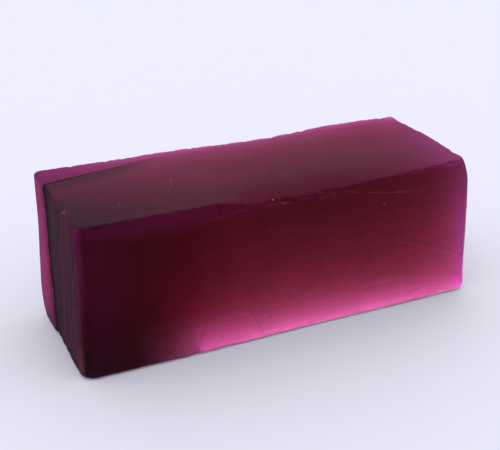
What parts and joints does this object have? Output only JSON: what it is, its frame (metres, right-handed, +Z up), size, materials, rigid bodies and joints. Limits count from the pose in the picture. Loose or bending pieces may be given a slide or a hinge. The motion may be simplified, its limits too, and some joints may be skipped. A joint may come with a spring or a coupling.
{
  "type": "sawn ruby bar",
  "caption": "Rectangular bar of rough ruby, sawn on six sides, a little out of square, with worn and chipped edges.",
  "frame": {"origin": "middle of the bar's bounding box in plan, on the flat base", "axes": "+X along the bar's length, +Y to its back, +Z up from the flat base"},
  "size_m": [0.0514, 0.0186, 0.0185],
  "materials": {
    "ruby": "sawn, satin, translucent where thin"
  },
  "bodies": {
    "root": {"ruby": "ruby"}
  },
  "joints": []
}
